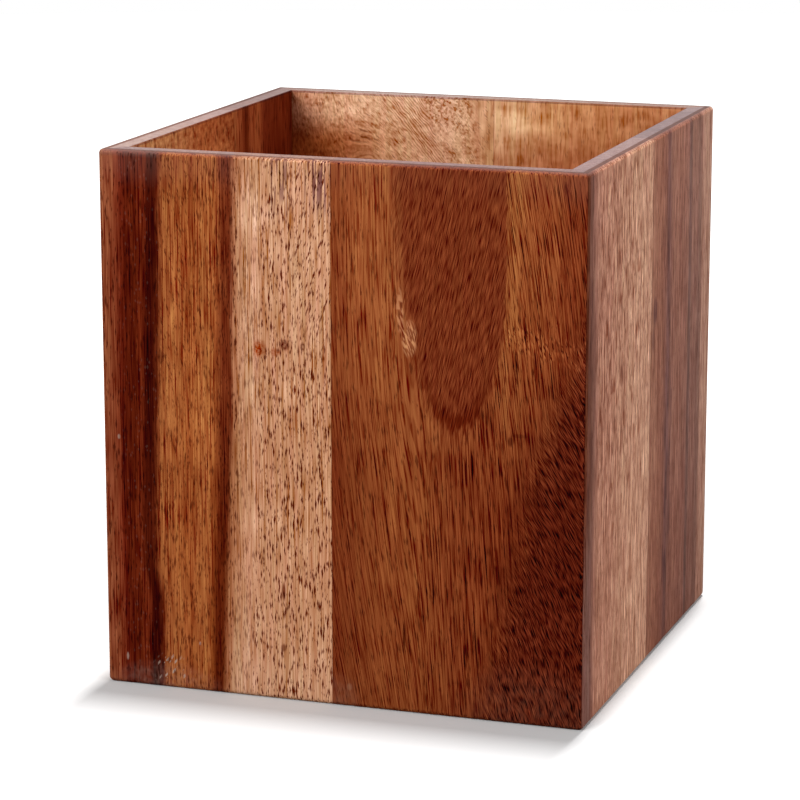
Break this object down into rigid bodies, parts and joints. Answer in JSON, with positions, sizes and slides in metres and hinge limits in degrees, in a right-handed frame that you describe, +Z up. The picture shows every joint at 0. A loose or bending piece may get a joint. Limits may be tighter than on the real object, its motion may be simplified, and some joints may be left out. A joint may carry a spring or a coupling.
{
  "type": "umbrella stand",
  "caption": "Open-topped square box of edge-glued hardwood boards with mitred corners, for standing umbrellas or for general storage.",
  "frame": {"origin": "centre of the box's foot, on the floor", "axes": "+Z up, +X to the right and -Y towards the viewer, square to the walls"},
  "size_m": [0.24, 0.24, 0.262],
  "materials": {
    "front_left_board": "striped dark, golden and pale sapwood, satin lacquer",
    "front_right_board": "warm brown heartwood with arched grain, satin lacquer",
    "right_front_board": "pale straight grain, satin lacquer",
    "right_back_board": "dark heartwood with narrow dark stripes and a pale edge, satin lacquer",
    "back_left_board": "light golden board with curly figure, satin lacquer",
    "back_right_board": "smooth golden board with short pores, satin lacquer",
    "left_front_board": "speckled golden brown board, satin lacquer",
    "left_back_board": "dark red-brown striped board, satin lacquer",
    "base_front_board": "golden brown board, satin lacquer",
    "base_back_board": "warm brown board, satin lacquer"
  },
  "bodies": {
    "root": {"front_left_board": "front_left_board", "front_right_board": "front_right_board", "right_front_board": "right_front_board", "right_back_board": "right_back_board", "back_left_board": "back_left_board", "back_right_board": "back_right_board", "left_front_board": "left_front_board", "left_back_board": "left_back_board", "base_front_board": "base_front_board", "base_back_board": "base_back_board"}
  },
  "joints": []
}
